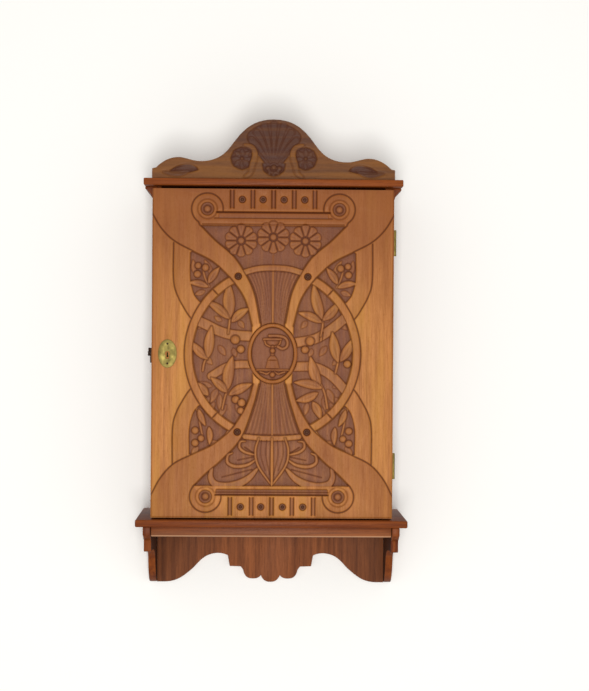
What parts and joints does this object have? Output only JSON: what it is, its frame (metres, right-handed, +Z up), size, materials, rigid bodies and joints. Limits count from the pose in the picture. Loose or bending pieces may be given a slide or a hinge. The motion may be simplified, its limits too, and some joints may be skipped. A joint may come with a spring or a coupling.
{
  "type": "key cabinet",
  "caption": "Wall-hung wooden key cabinet with a side-hinged carved door, shaped crest, moulded top, bracketed shelf, lock, side hook and inner rails of key hooks.",
  "frame": {"origin": "on the wall plane at the back of the back board, at mid width, level with the top face of the base shelf", "axes": "+X to the right seen from the front, -Y out of the wall towards the viewer, +Z up"},
  "size_m": [0.4136, 0.18, 0.7281],
  "materials": {
    "golden_wood": "satin oiled, golden brown",
    "red_wood": "satin oiled, red-brown",
    "dark_wood": "satin, dark red-brown",
    "inner_wood": "plain, unpolished",
    "brass": "aged, dull",
    "iron": "darkened"
  },
  "bodies": {
    "cabinet": {"back_board": "dark_wood", "hanger_plate_left": "brass", "hanger_plate_right": "brass", "side_left": "red_wood", "side_right": "red_wood", "strike_plate": "brass", "top_board": "red_wood", "base_shelf": "red_wood", "front_rail": "red_wood", "side_moulding_left": "red_wood", "side_moulding_right": "red_wood", "crest_board": "dark_wood", "crest_block_left": "inner_wood", "crest_block_right": "inner_wood", "bracket_left": "red_wood", "bracket_right": "red_wood", "hinge_top_case_leaf": "brass", "hinge_bottom_case_leaf": "brass", "hinge_top_pin": "brass", "hinge_bottom_pin": "brass", "hook_screw": "iron", "key_rail_upper": "inner_wood", "key_hook_upper_1": "brass", "key_hook_upper_2": "brass", "key_hook_upper_3": "brass", "key_hook_upper_4": "brass", "key_rail_middle": "inner_wood", "key_hook_middle_1": "brass", "key_hook_middle_2": "brass", "key_hook_middle_3": "brass", "key_hook_middle_4": "brass", "key_rail_lower": "inner_wood", "key_hook_lower_1": "brass", "key_hook_lower_2": "brass", "key_hook_lower_3": "brass", "key_hook_lower_4": "brass"},
    "door": {"door_panel": "golden_wood", "door_medallion": "golden_wood", "escutcheon": "brass", "escutcheon_pin_top": "brass", "escutcheon_pin_bottom": "brass", "hinge_top_door_leaf": "brass", "hinge_bottom_door_leaf": "brass", "lock_case": "brass", "lock_cap": "brass", "lock_cap_screw_upper": "brass", "lock_cap_screw_lower": "brass", "lever_spring": "iron", "hook_stud": "iron"},
    "lock_bolt": {"lock_bolt": "brass"},
    "lock_lever": {"lock_lever": "brass"},
    "side_hook": {"hook_arm": "iron"}
  },
  "joints": [
    {"name": "door_hinge", "type": "hinge", "parent": "cabinet", "child": "door", "pos_m": [0.1867, -0.14865, 0.2516], "axis": [0, 0, 1], "range_deg": [0, 110]},
    {"name": "lock_bolt_slide", "type": "slide", "parent": "door", "child": "lock_bolt", "axis": [-1, 0, 0], "range_m": [0, 0.0065]},
    {"name": "lock_lever_lift", "type": "hinge", "parent": "door", "child": "lock_lever", "pos_m": [-0.137, -0.1406, 0.2595], "axis": [0, 1, 0], "range_deg": [0, 5], "stiffness_Nm_per_rad": 0.02, "springref_deg": -11.46, "deforming": ["lever_spring"]},
    {"name": "side_hook_swing", "type": "hinge", "parent": "cabinet", "child": "side_hook", "pos_m": [-0.1868, -0.142, 0.2575], "axis": [1, 0, 0], "range_deg": [-60, 270]}
  ]
}
